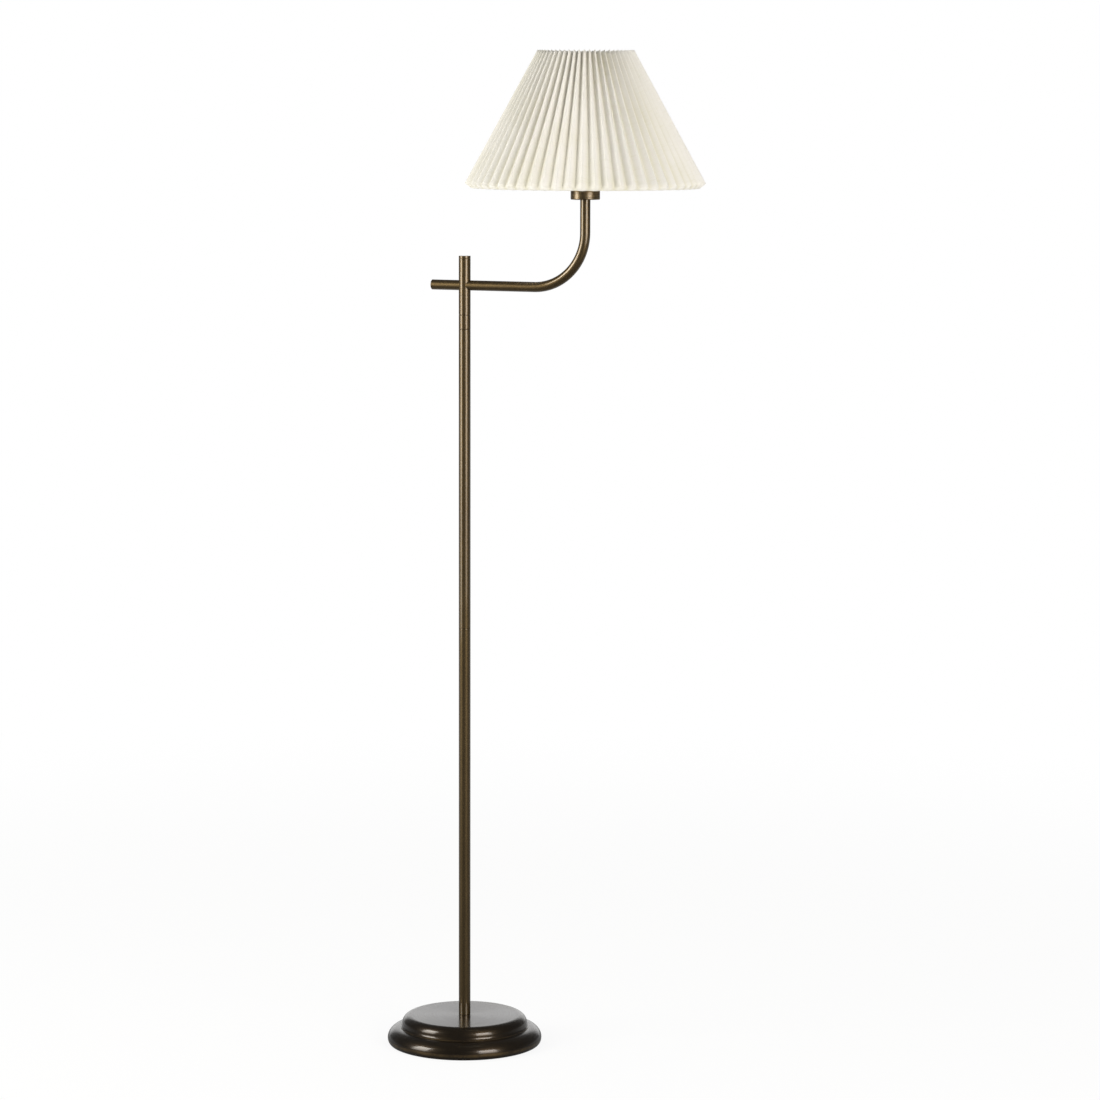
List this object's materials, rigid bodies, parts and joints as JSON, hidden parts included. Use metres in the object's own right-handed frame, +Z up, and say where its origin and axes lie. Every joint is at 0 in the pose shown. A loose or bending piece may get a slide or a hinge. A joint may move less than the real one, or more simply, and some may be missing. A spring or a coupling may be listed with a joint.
{
  "type": "bridge floor lamp",
  "caption": "Floor lamp with a stepped round foot, a slim pole, a cross arm that swivels and bends upward, and a pleated cone shade over its socket.",
  "frame": {"origin": "centre of the foot's underside, on the floor and on the pole's axis", "axes": "+Z up along the pole, +X along the arm toward the shade, -Y toward the side with the switch knob"},
  "size_m": [0.4967, 0.358, 1.524],
  "materials": {
    "bronze": "dark antique bronze lacquer, satin",
    "base_bronze": "dark antique bronze lacquer, satin, rubbed at the edges",
    "antique_brass": "brushed antique brass, lacquered",
    "steel": "zinc-plated, satin",
    "iron": "rough cast",
    "rubber": "matte black",
    "ivory_fabric": "lined ivory cloth, matte",
    "white_wire": "white enamel on steel wire, satin",
    "bakelite": "dark brown moulding, satin",
    "yellow_brass": "stamped brass, bright",
    "bulb_glass": "frosted",
    "cap_metal": "stamped, satin"
  },
  "bodies": {
    "stand": {"base_shell": "base_bronze", "base_weight": "iron", "base_pad": "rubber", "base_washer": "steel", "base_nut": "steel", "base_nipple": "steel", "cord_bushing": "rubber", "lower_pole": "bronze", "lower_foot_bush": "steel", "lower_head_bush": "steel", "pole_coupler": "steel", "upper_pole": "bronze", "upper_foot_bush": "steel", "upper_head_bush": "steel", "swivel_collar": "bronze", "swivel_spindle": "steel", "swivel_stop_pin": "steel", "swivel_washer": "rubber", "swivel_spring": "steel", "swivel_nut": "steel"},
    "arm": {"arm_post": "bronze", "post_bearing": "steel", "post_cap": "bronze", "arm_tube": "bronze", "arm_end_cap": "bronze", "riser_plug": "steel", "socket_cup": "antique_brass", "cup_nut": "steel", "socket_body": "bakelite", "screw_shell": "yellow_brass", "centre_contact": "yellow_brass", "switch_block": "bakelite", "shade_ring_nut": "bakelite", "shade_fitter": "white_wire", "shade_bottom_ring": "white_wire", "shade_top_ring": "white_wire", "shade_ribs": "white_wire", "shade_fabric": "ivory_fabric", "bulb_glass": "bulb_glass", "bulb_cap": "cap_metal", "bulb_contact": "yellow_brass"},
    "switch": {"switch_shaft": "yellow_brass", "switch_knob": "bakelite"}
  },
  "joints": [
    {"name": "arm_swivel", "type": "hinge", "parent": "stand", "child": "arm", "pos_m": [0, 0, 1.1266], "axis": [0, 0, 1], "range_deg": [-150, 150]},
    {"name": "switch_turn", "type": "hinge", "parent": "arm", "child": "switch", "pos_m": [0.1984, 0, 1.3293], "axis": [0, -1, 0], "continuous": true}
  ]
}
